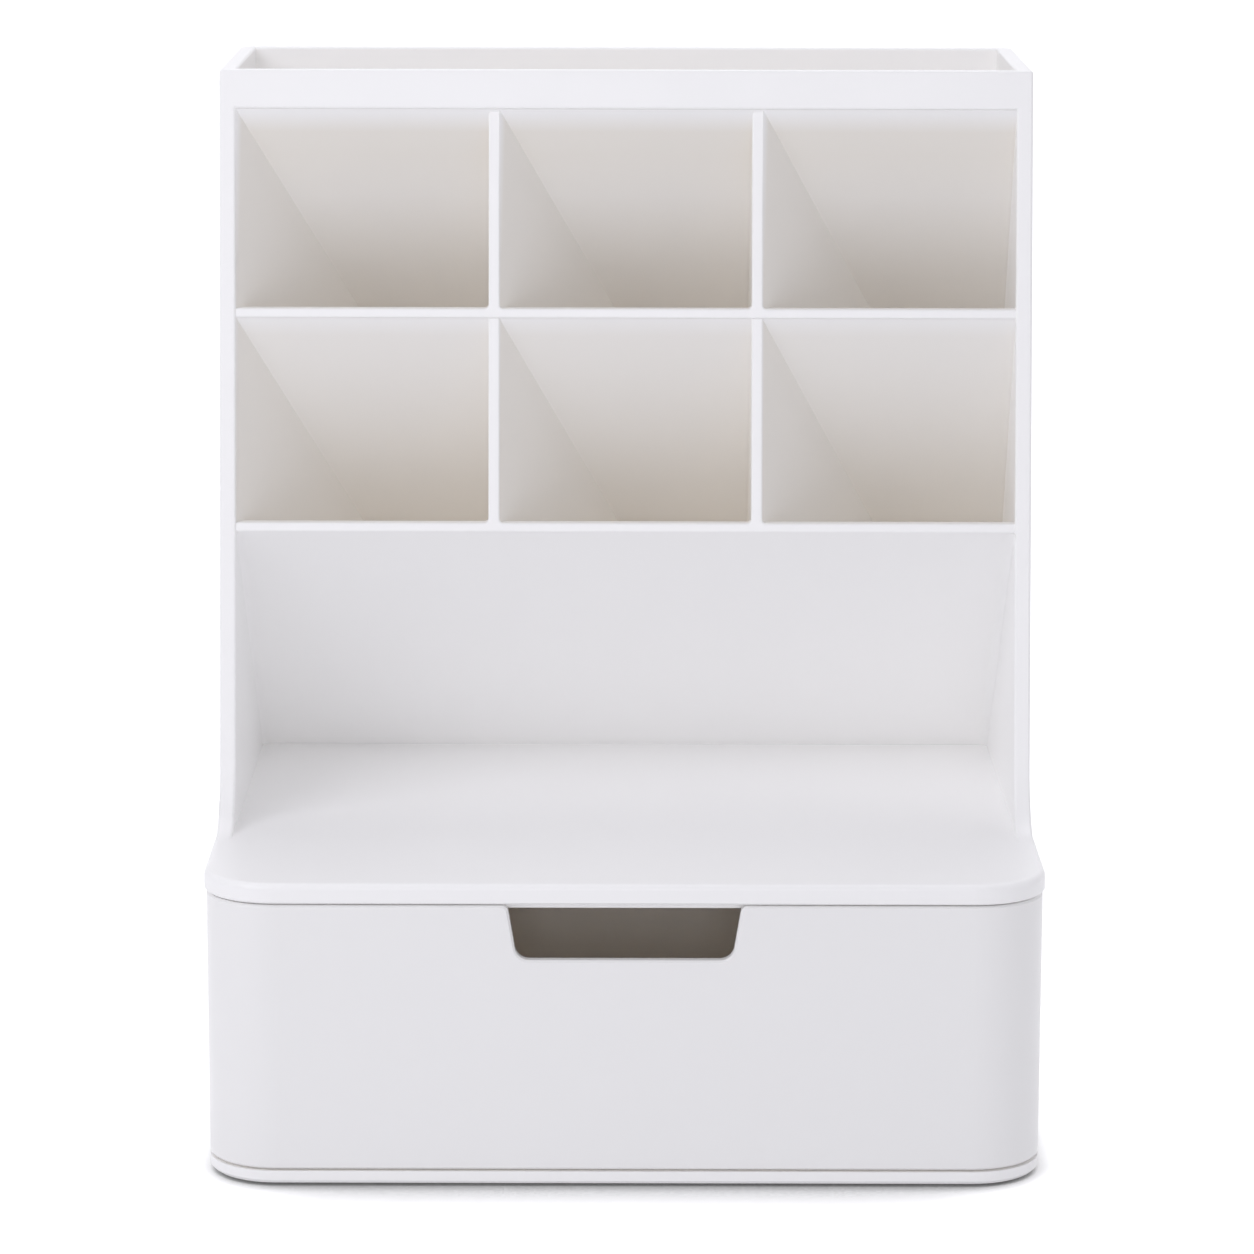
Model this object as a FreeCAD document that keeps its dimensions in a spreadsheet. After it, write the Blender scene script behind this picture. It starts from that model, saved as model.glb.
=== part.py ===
import FreeCAD, Part
import math
import os
import Sketcher

# A slanted pocket organiser with one drawer, moulded in white plastic. Millimetres, +Z up.
# The origin is the centre of the footprint, at the height of the surface it stands on.
# X runs left to right, and the drawer opens toward -Y.

os.makedirs("parts", exist_ok=True)
doc = FreeCAD.newDocument("pocket_organiser")
sheet = doc.addObject("Spreadsheet::Sheet", "Sizes")
subparts = []


# ---------------------------------------------------------------- sizes and the sheet


class Size:
    """A length known both as a number and as the sheet expression that drives it."""

    def __init__(self, text, number):
        self.text = text
        self.number = number

    def __add__(self, other):
        return combine(self, "+", other)

    def __radd__(self, other):
        return combine(other, "+", self)

    def __sub__(self, other):
        return combine(self, "-", other)

    def __rsub__(self, other):
        return combine(other, "-", self)

    def __mul__(self, other):
        return combine(self, "*", other)

    def __rmul__(self, other):
        return combine(other, "*", self)

    def __truediv__(self, other):
        return combine(self, "/", other)

    def __neg__(self):
        return combine(0.0, "-", self)


def as_size(value):
    if isinstance(value, Size):
        return value
    return Size("({:.6f})".format(value), float(value))


def combine(first, sign, second):
    first = as_size(first)
    second = as_size(second)
    results = {
        "+": first.number + second.number,
        "-": first.number - second.number,
        "*": first.number * second.number,
        "/": first.number / second.number if second.number else 0.0,
    }
    return Size("({} {} {})".format(first.text, sign, second.text), results[sign])


def driving(alias, number):
    """One row of the sheet: the name in column A, the plain number in column B."""
    driving.row += 1
    sheet.set("A{}".format(driving.row), alias)
    sheet.set("B{}".format(driving.row), str(number))
    sheet.setAlias("B{}".format(driving.row), alias)
    return Size("Sizes." + alias, float(number))


driving.row = 0

# The drawer base, seen from above
base_half = driving("base_half_width", 100.0)
base_front = driving("base_front", -78.5)
shell_rear = driving("shell_rear", 79.0)
overhang = driving("deck_overhang", 0.5)
front_radius = driving("front_corner_radius", 17.0)
rear_radius = driving("rear_corner_radius", 4.0)

# Heights of the base
foot_height = driving("foot_height", 1.6)
foot_show = driving("foot_standoff", 0.6)
plate_top = driving("base_plate_top", 3.7)
deck_low = driving("deck_underside", 69.5)
deck_top = driving("deck_top", 74.3)
reveal = driving("drawer_reveal", 0.5)

# The leaning upper unit
rim = driving("rim_height", 258.2)
band_low = driving("band_underside", 248.7)
side_wall = driving("side_wall", 4.0)
band_wall = driving("band_wall", 3.0)
rear_wall = driving("rear_wall", 3.0)
lean_at = driving("lean_height", 95.6)
lean_start = driving("lean_front", -18.1)
lean = driving("lean_slope", 0.163)
foot_curve = driving("upright_foot_radius", 17.5)
rail_low = driving("rear_rail_low", 240.0)

# The pocket units
setback = driving("ledge_setback", 0.5)
back_recess = driving("back_recess", 0.6)
ledge_thick = driving("ledge_thick", 2.35)
upper_ledge = driving("upper_ledge_low", 197.95)
lower_ledge = driving("lower_ledge_low", 145.9)
back_slope = driving("pocket_back_slope", 0.55)
sheet_run = driving("sheet_thickness_along_y", 2.3)
bay_sheet_run = driving("bay_sheet_along_y", 3.0)
bay_foot = driving("bay_back_foot", 71.6)
upper_floor = driving("upper_floor_top", 138.0)
lower_floor = driving("lower_floor_top", 100.0)
floor_thick = driving("floor_thick", 2.0)
divider_pitch = driving("divider_pitch", 64.8)
divider_thick = driving("divider_thick", 2.8)
cheek_run = driving("cheek_run", 27.2)
cheek_depth = driving("cheek_taper_below_ledge", 7.5)

# The drawer
skin = driving("drawer_front_wall", 2.6)
wrap_end = driving("drawer_wrap_end", -54.5)
box_half = driving("drawer_box_half_width", 87.0)
box_rear = driving("drawer_box_rear", 70.0)
box_low = driving("drawer_box_underside", 5.2)
box_rim = driving("drawer_box_rim", 66.0)
box_wall = driving("drawer_box_wall", 2.0)
notch_half_top = driving("notch_half_width_top", 27.8)
notch_half_low = driving("notch_half_width_low", 25.5)
notch_low = driving("notch_bottom", 55.7)
travel = driving("drawer_travel", 110.0)

# Inside the base
housing_wall = driving("housing_wall", 2.8)
post_across = driving("post_position_x", 92.5)
post_front = driving("post_position_front", -42.0)
post_rear = driving("post_position_rear", 44.0)
post_radius = driving("post_radius", 4.0)
boss_top = driving("boss_top", 7.0)
screw_hole = driving("screw_hole_radius", 1.6)
screw_shank = driving("screw_shank_radius", 1.25)
head_radius = driving("screw_head_radius", 3.0)
head_thick = driving("screw_head_thick", 2.0)
head_seat = driving("screw_head_seat", 3.6)
lug_across = driving("stop_lug_x", 70.0)
lug_low = driving("stop_lug_low", 66.5)
foot_radius = driving("foot_radius", 7.0)
foot_across = driving("foot_position_x", 86.0)
foot_front = driving("foot_position_front", -62.0)
foot_rear = driving("foot_position_rear", 64.0)
doc.recompute()


def front_face(height):
    """The leaning front plane of the uprights and the band."""
    return lean_start + lean * (height - lean_at)


def pocket_front(height):
    """The front plane of the ledges and dividers, set back a little from the uprights."""
    return front_face(height) + setback


def upper_back(height):
    """Front surface of the slanted back of the upper pockets."""
    return front_face(band_low) + back_slope * (band_low - height)


def lower_back(height):
    """Front surface of the slanted back of the lower pockets."""
    return pocket_front(upper_ledge) + back_recess + back_slope * (upper_ledge - height)


bay_slope = (bay_foot - pocket_front(lower_ledge) - back_recess) / (lower_ledge - deck_top)


def bay_back(height):
    """Front surface of the slanted back of the bay, from the lower ledge to the deck."""
    return pocket_front(lower_ledge) + back_recess + bay_slope * (lower_ledge - height)


# ---------------------------------------------------------------- sketches and features


def new_body(label):
    body = doc.addObject("PartDesign::Body", label)
    body.Label = label
    return body


def new_subpart(label):
    """A body that is one piece of the object by itself."""
    body = new_body(label)
    subparts.append(body)
    return body


def bind(feature, prop, size):
    feature.setExpression(prop, as_size(size).text)


def new_sketch(body, name, plane, shift):
    """A sketch on one of the body's own planes, moved along the plane's normal."""
    sketch = body.newObject("Sketcher::SketchObject", name)
    support = [f for f in body.Origin.OriginFeatures if f.Role == plane]
    sketch.AttachmentSupport = [(support[0], "")]
    sketch.MapMode = "FlatFace"
    bind(sketch, "AttachmentOffset.Base.z", shift)
    return sketch


def fix(sketch, kind, line, end, size):
    """Hold one coordinate of a corner at its distance from the sketch's origin."""
    size = as_size(size)
    index = sketch.addConstraint(Sketcher.Constraint(kind, -1, 1, line, end, size.number))
    sketch.setExpression("Constraints[{}]".format(index), size.text)


def outline(body, name, plane, path, shift=0.0):
    """A closed outline. A corner is (u, v), or (u, v, centre u, centre v, turn) after an arc.

    turn is +1 for an arc that runs anticlockwise into its corner, and -1 for a clockwise one.
    """
    sketch = new_sketch(body, name, plane, shift)
    corners = [[as_size(number) for number in corner] for corner in path]
    places = [FreeCAD.Vector(c[0].number, c[1].number, 0) for c in corners]
    starts = []
    ends = []
    for index, corner in enumerate(corners):
        begin = places[index - 1]
        finish = places[index]
        if len(corner) == 2:
            line = sketch.addGeometry(Part.LineSegment(begin, finish))
            starts.append((line, 1))
            ends.append((line, 2))
            continue
        centre = FreeCAD.Vector(corner[2].number, corner[3].number, 0)
        circle = Part.Circle(centre, FreeCAD.Vector(0, 0, 1), begin.distanceToPoint(centre))
        anticlockwise = corner[4].number > 0
        first = begin if anticlockwise else finish
        last = finish if anticlockwise else begin
        angles = [math.atan2(p.y - centre.y, p.x - centre.x) for p in (first, last)]
        arc = sketch.addGeometry(Part.ArcOfCircle(circle, angles[0], angles[1]))
        starts.append((arc, 1 if anticlockwise else 2))
        ends.append((arc, 2 if anticlockwise else 1))
        fix(sketch, "DistanceX", arc, 3, corner[2])
        fix(sketch, "DistanceY", arc, 3, corner[3])
    for index, corner in enumerate(corners):
        after = starts[(index + 1) % len(corners)]
        sketch.addConstraint(Sketcher.Constraint("Coincident", *ends[index], *after))
        # the end of an arc is already held to its circle, so one coordinate is enough
        across = True
        up = True
        if len(corner) > 2:
            out = places[index] - FreeCAD.Vector(corner[2].number, corner[3].number, 0)
            across = abs(out.y) >= abs(out.x)
            up = not across
        if across:
            fix(sketch, "DistanceX", *ends[index], corner[0])
        if up:
            fix(sketch, "DistanceY", *ends[index], corner[1])
    return sketch


def circles(body, name, centres, radius, shift=0.0):
    """Equal circles on the body's horizontal plane."""
    sketch = new_sketch(body, name, "XY_Plane", shift)
    for centre in centres:
        place = FreeCAD.Vector(as_size(centre[0]).number, as_size(centre[1]).number, 0)
        ring = sketch.addGeometry(Part.Circle(place, FreeCAD.Vector(0, 0, 1), radius.number))
        fix(sketch, "DistanceX", ring, 3, centre[0])
        fix(sketch, "DistanceY", ring, 3, centre[1])
        index = sketch.addConstraint(Sketcher.Constraint("Radius", ring, radius.number))
        sketch.setExpression("Constraints[{}]".format(index), radius.text)
    return sketch


def extrude(body, kind, sketch, length, both_ways=False, backward=False):
    feature = body.newObject("PartDesign::" + kind, sketch.Name + "_" + kind.lower())
    feature.Profile = sketch
    bind(feature, "Length", length)
    if both_ways:
        feature.SideType = "Symmetric"
    feature.Reversed = backward
    before = body.Shape.Volume if body.Shape and not body.Shape.isNull() else 0.0
    doc.recompute()
    grew = body.Shape.Volume > before
    if grew != (kind == "Pad"):
        raise RuntimeError("{} leaves {} unchanged".format(feature.Name, body.Label))
    return feature


def pad(body, sketch, length, **options):
    return extrude(body, "Pad", sketch, length, **options)


def cut(body, sketch, length, **options):
    return extrude(body, "Pocket", sketch, length, **options)


def slant_pad(body, sketch, height, slope):
    """A pad that moves by the slope along Y for each unit it rises."""
    feature = body.newObject("PartDesign::Pad", sketch.Name + "_pad")
    feature.Profile = sketch
    feature.UseCustomVector = True
    feature.AlongSketchNormal = True
    feature.Direction = FreeCAD.Vector(0, slope.number, 1)
    bind(feature, "Direction.y", slope)
    bind(feature, "Length", height)
    doc.recompute()
    return feature


def mirror(body, features):
    """The same features again on the other side of the middle plane."""
    feature = body.newObject("PartDesign::Mirrored", features[0].Name + "_mirrored")
    middle = [f for f in body.Origin.OriginFeatures if f.Role == "YZ_Plane"]
    feature.Originals = features
    feature.MirrorPlane = (middle[0], [""])
    body.Tip = feature
    doc.recompute()
    return feature


def row(body, features, length, count):
    """The same features repeated along X."""
    feature = body.newObject("PartDesign::LinearPattern", features[0].Name + "_row")
    axis = [f for f in body.Origin.OriginFeatures if f.Role == "X_Axis"]
    feature.Originals = features
    feature.Direction = (axis[0], [""])
    feature.Occurrences = count
    bind(feature, "Length", length)
    body.Tip = feature
    doc.recompute()
    return feature


def soften(body, name, radius, chosen, kind="Fillet"):
    """Round, or bevel, every edge of the body that the chosen test picks."""
    base = body.Tip
    names = []
    for index, edge in enumerate(base.Shape.Edges):
        if chosen(edge):
            names.append("Edge{}".format(index + 1))
    if not names:
        raise RuntimeError("no edge found for " + name)
    feature = body.newObject("PartDesign::" + kind, name)
    feature.Base = (base, names)
    bind(feature, "Radius" if kind == "Fillet" else "Size", radius)
    doc.recompute()
    if "Invalid" in feature.State:
        raise RuntimeError("{} can't be rounded: {}".format(name, feature.getStatusString()))
    return feature


def at_height(edge, height):
    box = edge.BoundBox
    return abs(box.ZMin - height) < 1e-4 and abs(box.ZMax - height) < 1e-4


def near(value, target):
    return abs(value - target) < 1e-3


def middle_of(edge):
    return edge.valueAt((edge.FirstParameter + edge.LastParameter) / 2.0)


def plate_path(half, front, rear, front_corner, rear_corner):
    """A plan outline with large front corners and small rear ones."""
    return [
        (half - front_corner, front),
        (half, front + front_corner, half - front_corner, front + front_corner, 1),
        (half, rear - rear_corner),
        (half - rear_corner, rear, half - rear_corner, rear - rear_corner, 1),
        (rear_corner - half, rear),
        (-half, rear - rear_corner, rear_corner - half, rear - rear_corner, 1),
        (-half, front + front_corner),
        (front_corner - half, front, front_corner - half, front + front_corner, 1),
    ]


def box_path(low, high):
    """A rectangle between two opposite corners."""
    return [low, (high[0], low[1]), high, (low[0], high[1])]


# ---------------------------------------------------------------- the shell


def shell_frame():
    """The leaning side walls, the top band and the rear rail."""
    body = new_body("shell_frame")
    band_path = [
        (front_face(band_low), band_low),
        (front_face(rim), rim),
        (front_face(rim) + band_wall, rim),
        (front_face(band_low) + band_wall, band_low),
    ]
    band = outline(body, "band_outline", "YZ_Plane", band_path)
    pad(body, band, 2.0 * base_half - side_wall, both_ways=True)

    # The side wall's foot is an arc, tangent to the deck and to the leaning front edge.
    stretch = (1.0 + lean.number ** 2) ** 0.5
    lean_foot = front_face(deck_top)
    tangent = foot_curve * (stretch - lean.number)
    centre_y = lean_foot - tangent
    rise = tangent / stretch
    sunk = deck_low + 1.0
    wall_path = [
        (centre_y, sunk),
        (centre_y, deck_top),
        (lean_foot + lean * rise, deck_top + rise, centre_y, deck_top + foot_curve, 1),
        (front_face(rim), rim),
        (shell_rear, rim),
        (shell_rear, sunk),
    ]
    wall = outline(body, "side_wall_outline", "YZ_Plane", wall_path, base_half - side_wall)
    wall_pad = pad(body, wall, side_wall)
    mirror(body, [wall_pad])
    rail_path = box_path((shell_rear - rear_wall, rail_low), (shell_rear, rim))
    rail = outline(body, "rear_rail_outline", "YZ_Plane", rail_path)
    pad(body, rail, 2.0 * base_half - side_wall, both_ways=True)

    # The upright rear corners are rounded like the deck's.
    corner_x = base_half - rear_radius
    corner_y = shell_rear - rear_radius
    corner_path = [
        (corner_x, shell_rear),
        (base_half, corner_y, corner_x, corner_y, -1),
        (base_half + 1.0, corner_y),
        (base_half + 1.0, shell_rear + 1.0),
        (corner_x, shell_rear + 1.0),
    ]
    corner = outline(body, "rear_corner_outline", "XY_Plane", corner_path, sunk - 1.0)
    corner_cut = cut(body, corner, rim, backward=True)
    mirror(body, [corner_cut])

    # Every front and top edge is rounded, down to the toe of each side wall.
    def on_frame_edge(edge):
        middle = middle_of(edge)
        on_lean = near(middle.y, front_face(middle.z).number)
        on_rim = near(middle.z, rim.number)
        on_toe = edge.Curve.TypeId == "Part::GeomCircle" and middle.z < deck_top.number + 10.0
        crosses = near(edge.BoundBox.XLength, side_wall.number)
        return (on_lean or on_rim or on_toe) and edge.Length > 5.0 and not crosses

    soften(body, "frame_edges", driving("frame_edge_radius", 0.7), on_frame_edge)

    # A short rail inside each side wall carries the upper pocket unit.
    rail_top = upper_floor - floor_thick
    carrier_path = box_path((46.0, rail_top - 3.0), (73.0, rail_top))
    carrier = outline(body, "carrier_rail_outline", "YZ_Plane", carrier_path,
                      base_half - side_wall - 3.0)
    carrier_pad = pad(body, carrier, 4.0)
    mirror(body, [carrier_pad])
    return body


def shell_deck():
    """The deck over the drawer, with its posts, front rib, stop lugs and tongue slots."""
    body = new_body("shell_deck")
    deck_path = plate_path(base_half + overhang, base_front - overhang, shell_rear,
                           front_radius + overhang, rear_radius + overhang)
    deck = outline(body, "deck_outline", "XY_Plane", deck_path, deck_low)
    pad(body, deck, deck_top - deck_low)
    soften(body, "deck_top_edge", driving("deck_top_edge_radius", 1.5),
           lambda edge: at_height(edge, deck_top.number))
    soften(body, "deck_low_edge", driving("deck_low_edge_bevel", 0.4),
           lambda edge: at_height(edge, deck_low.number), "Chamfer")

    # Four posts take the screws that come up through the base.
    spots = [(x, y) for x in (-post_across, post_across) for y in (post_front, post_rear)]
    posts = circles(body, "posts", spots, post_radius, boss_top)
    pad(body, posts, deck_low - boss_top + 1.0)
    pilots = circles(body, "pilot_holes", spots, screw_shank + 0.05, boss_top)
    cut(body, pilots, 14.0, backward=True)

    # A rib stiffens the deck's front edge behind the drawer front.
    rib_path = box_path((base_front + skin + 1.4, deck_low - 1.9),
                        (base_front + skin + 2.9, deck_low + 1.0))
    rib = outline(body, "deck_rib_outline", "YZ_Plane", rib_path)
    pad(body, rib, 120.0, both_ways=True)

    # A ramped lug on each side stops the drawer at its full travel.
    lug_rear = box_rear - 10.5 - travel - 0.3
    lug_path = [
        (lug_rear, deck_low + 1.0),
        (lug_rear - 8.0, deck_low + 1.0),
        (lug_rear - 8.0, deck_low),
        (lug_rear - 2.0, lug_low),
        (lug_rear, lug_low),
    ]
    lug = outline(body, "stop_lug_outline", "YZ_Plane", lug_path, lug_across - 2.0)
    lug_pad = pad(body, lug, 4.0)
    mirror(body, [lug_pad])

    # Two slots at the back of the deck take the tongues of the rear cover.
    slot_path = box_path((-46.0, shell_rear - 2.4), (-34.0, shell_rear - 1.0))
    slot = outline(body, "tongue_slot", "XY_Plane", slot_path, deck_top - 3.0)
    slot_cut = cut(body, slot, 4.0, backward=True)
    mirror(body, [slot_cut])
    return body


def outer_shell():
    """Deck, leaning side walls, top band and rear rail, moulded in one."""
    frame = shell_frame()
    deck = shell_deck()
    shell = doc.addObject("Part::MultiFuse", "outer_shell")
    shell.Label = "outer_shell"
    shell.Shapes = [frame, deck]
    doc.recompute()
    subparts.append(shell)


def rear_cover():
    """The flat back that closes the shell once the pocket units are in."""
    body = new_subpart("rear_cover")
    half = base_half - side_wall
    low = deck_top + 0.2
    high = rail_low - 0.2
    inner = shell_rear - rear_wall
    panel = outline(body, "panel_outline", "XZ_Plane", box_path((-half, low), (half, high)),
                    -(shell_rear - 0.5))
    pad(body, panel, rear_wall - 0.5)
    tongue = outline(body, "tongue_outline", "XY_Plane",
                     box_path((-45.5, shell_rear - 2.2), (-34.5, shell_rear - 1.2)), low - 2.6)
    tongue_pad = pad(body, tongue, 3.6)
    hook_path = [
        (inner + 1.0, high - 6.0),
        (inner - 2.0, high - 6.0),
        (inner - 2.0, high + 4.2),
        (inner - 0.2, high + 4.2),
        (inner - 0.2, high - 1.0),
        (inner + 1.0, high - 1.0),
    ]
    hook = outline(body, "hook_outline", "YZ_Plane", hook_path, 40.0)
    hook_pad = pad(body, hook, 12.0)
    rib = outline(body, "cover_rib_outline", "YZ_Plane",
                  box_path((inner - 1.2, low + 6.0), (inner + 1.0, upper_floor - 12.0)), 30.0)
    rib_pad = pad(body, rib, 2.0)
    mirror(body, [tongue_pad, hook_pad, rib_pad])
    return body


# ---------------------------------------------------------------- the pocket units


def pocket_grid(body, name, low, divider_path):
    """The ledge of a row and the two dividers that stand on it, with rounded front edges."""
    ledge_top = low + ledge_thick
    ledge_path = [
        (pocket_front(low), low),
        (pocket_front(ledge_top), ledge_top),
        (pocket_front(low) + 3.6, ledge_top),
        (pocket_front(low) + 3.6, low),
    ]
    ledge = outline(body, name + "_ledge", "YZ_Plane", ledge_path)
    pad(body, ledge, 2.0 * (base_half - side_wall), both_ways=True)
    inner = (divider_pitch - divider_thick) / 2.0
    divider = outline(body, name + "_divider", "YZ_Plane", divider_path, inner)
    wall = pad(body, divider, divider_thick)
    mirror(body, [wall])

    def in_corner(edge):
        """The short edges where a divider meets the top of the ledge."""
        middle = middle_of(edge)
        return (near(middle.z, ledge_top.number) and edge.BoundBox.XLength < 0.01
                and abs(middle.x) < base_half.number - 20.0)

    soften(body, name + "_corners", driving(name + "_corner_radius", 1.0), in_corner)

    def on_front(edge):
        """The front edges of the ledge and the dividers, with the bends between them."""
        middle = middle_of(edge)
        long_edge = edge.BoundBox.XLength > 20.0 or edge.BoundBox.ZLength > 20.0
        in_bend = edge.Curve.TypeId != "Part::GeomLine"
        return near(middle.y, pocket_front(middle.z).number) and (long_edge or in_bend)

    soften(body, name + "_front_edges", driving(name + "_edge_radius", 0.6), on_front)


def cheeks(body, name, back, low, ledge_low, high, sunk):
    """The angled left side of each pocket.

    From its tip at the pocket's top left corner the cheek widens on one plane to a little below
    the ledge. From there down it keeps its width and follows the slope of the pocket's back.
    """
    left = side_wall - base_half
    edge = pocket_front(ledge_low) + 1.1
    wide_at = ledge_low - cheek_depth
    widest = (high - wide_at) / (high - ledge_low)
    front = back(high) - widest * (back(high) - edge)
    rear = back(wide_at)
    corners = [(left, front), (left + widest * cheek_run, rear), (left, rear)]
    taper = outline(body, name + "_taper", "XY_Plane", corners, wide_at)
    taper_pad = slant_pad(body, taper, high - wide_at, (back(high) - front) / (high - wide_at))

    slide = back_slope * (wide_at - low)
    foot = [(corner[0], corner[1] + slide) for corner in corners]
    prism = outline(body, name + "_prism", "XY_Plane", foot, low)
    prism_pad = slant_pad(body, prism, wide_at - low, 0.0 - back_slope)
    row(body, [taper_pad, prism_pad], 2.0 * divider_pitch, 3)

    # what the taper leaves behind the pocket's back is taken away
    path = [
        (back(wide_at) + sunk, wide_at),
        (back(wide_at) + 40.0, wide_at),
        (back(high) + 60.0, high),
        (back(high) + sunk, high),
    ]
    behind = outline(body, name + "_back", "YZ_Plane", path)
    cut(body, behind, 2.0 * base_half, both_ways=True)


def clear_front(body, name, back, low, high):
    """Takes away what lies in front of a slanted back, so that the cheeks end on it."""
    path = [
        (base_front, high),
        (base_front, low),
        (back(low) + 1.0, low),
        (back(high) + 1.0, high),
    ]
    space = outline(body, name, "YZ_Plane", path)
    cut(body, space, 2.0 * base_half, both_ways=True)


def upper_pocket_unit():
    """Upper row: slanted back, floor, the sheet behind the lower row, ledge and dividers."""
    body = new_subpart("upper_pocket_unit")
    width = 2.0 * (base_half - side_wall)
    floor_low = upper_floor - floor_thick
    sheet_low = lower_floor - floor_thick
    meet = (front_face(band_low) - pocket_front(band_low)) / (back_slope + lean)
    divider_top = band_low + meet
    pocket_grid(body, "upper_row", upper_ledge, [
        (pocket_front(upper_ledge), upper_ledge),
        (pocket_front(divider_top), divider_top),
        (upper_back(divider_top) + 1.0, divider_top),
        (upper_back(upper_floor) + 1.0, upper_floor - 1.0),
        (lower_back(upper_floor) + 1.0, upper_floor - 1.0),
        (lower_back(upper_ledge) + 1.2, upper_ledge),
    ])
    cheeks(body, "upper_cheek", upper_back, upper_floor - 1.0, upper_ledge, band_low, 1.2)
    clear_front(body, "lower_row_space", lower_back, upper_floor - 2.0, upper_ledge)
    path = [
        (lower_back(upper_ledge), upper_ledge),
        (lower_back(sheet_low), sheet_low),
        (lower_back(sheet_low) + sheet_run, sheet_low),
        (lower_back(floor_low) + sheet_run, floor_low),
        (upper_back(floor_low) + sheet_run, floor_low),
        (upper_back(band_low) + sheet_run, band_low),
        (upper_back(band_low), band_low),
        (upper_back(upper_floor), upper_floor),
        (lower_back(upper_floor) + sheet_run, upper_floor),
        (lower_back(upper_ledge) + sheet_run, upper_ledge),
    ]
    section = outline(body, "upper_section", "YZ_Plane", path)
    pad(body, section, width, both_ways=True)

    # A flange behind the band holds the unit's top edge.
    def flange_at(height):
        return front_face(height) + band_wall + 0.25

    flange_low = band_low - 3.2
    flange_top = band_low + 4.3
    flange_path = [
        (flange_at(flange_low), flange_low),
        (flange_at(flange_top), flange_top),
        (flange_at(flange_top) + 1.8, flange_top),
        (flange_at(flange_low) + 1.8, flange_low),
    ]
    flange = outline(body, "flange_outline", "YZ_Plane", flange_path)
    pad(body, flange, width, both_ways=True)


def lower_pocket_unit():
    """Lower row: the bay's slanted back, floor, ledge, dividers and cheeks."""
    body = new_subpart("lower_pocket_unit")
    width = 2.0 * (base_half - side_wall)
    floor_low = lower_floor - floor_thick
    pocket_grid(body, "lower_row", lower_ledge, [
        (pocket_front(lower_ledge), lower_ledge),
        (pocket_front(upper_ledge), upper_ledge),
        (lower_back(upper_ledge), upper_ledge),
        (lower_back(lower_floor - 1.0), lower_floor - 1.0),
        (bay_back(lower_floor) + 1.0, lower_floor - 1.0),
        (bay_back(lower_ledge) + 1.2, lower_ledge),
    ])
    cheeks(body, "lower_cheek", lower_back, lower_floor - 1.0, lower_ledge, upper_ledge, 0.0)
    clear_front(body, "bay_space", bay_back, deck_top, lower_ledge)
    path = [
        (bay_back(lower_ledge), lower_ledge),
        (bay_back(deck_top), deck_top),
        (bay_back(deck_top) + bay_sheet_run, deck_top),
        (bay_back(floor_low) + bay_sheet_run, floor_low),
        (lower_back(floor_low), floor_low),
        (lower_back(lower_floor), lower_floor),
        (bay_back(lower_floor) + bay_sheet_run, lower_floor),
        (bay_back(lower_ledge) + bay_sheet_run, lower_ledge),
    ]
    section = outline(body, "lower_section", "YZ_Plane", path)
    pad(body, section, width, both_ways=True)

    # A cove blends each end of the bay's back into the side wall.
    cove = driving("bay_cove_radius", 2.0)
    half = base_half - side_wall
    foot = bay_back(deck_top)
    cove_path = [
        (half - cove, foot),
        (half, foot - cove, half - cove, foot - cove, -1),
        (half, foot + 1.0),
        (half - cove, foot + 1.0),
    ]
    corner = outline(body, "cove_outline", "XY_Plane", cove_path, deck_top)
    cove_pad = slant_pad(body, corner, lower_ledge - deck_top, 0.0 - bay_slope)
    mirror(body, [cove_pad])


# ---------------------------------------------------------------- the drawer


def notch_path(spread):
    """The finger notch: a shallow trapezium, open at the top."""
    above = deck_low + 4.0
    flare = (notch_half_top - notch_half_low) / (deck_low - notch_low)
    half_above = notch_half_low + flare * (above - notch_low) + spread
    half_low = notch_half_low + spread
    low = notch_low - spread
    return [(-half_low, low), (half_low, low), (half_above, above), (-half_above, above)]


def round_notch(body, name, spread):
    """The notch's two lower corners are rounded."""
    corner = notch_half_low.number + spread
    low = notch_low.number - spread

    def in_corner(edge):
        middle = middle_of(edge)
        across = edge.BoundBox.XLength < 0.01 and edge.BoundBox.YLength > 1.0
        return across and near(middle.z, low) and near(abs(middle.x), corner)

    soften(body, name, driving(name + "_radius", 3.5), in_corner)


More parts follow.
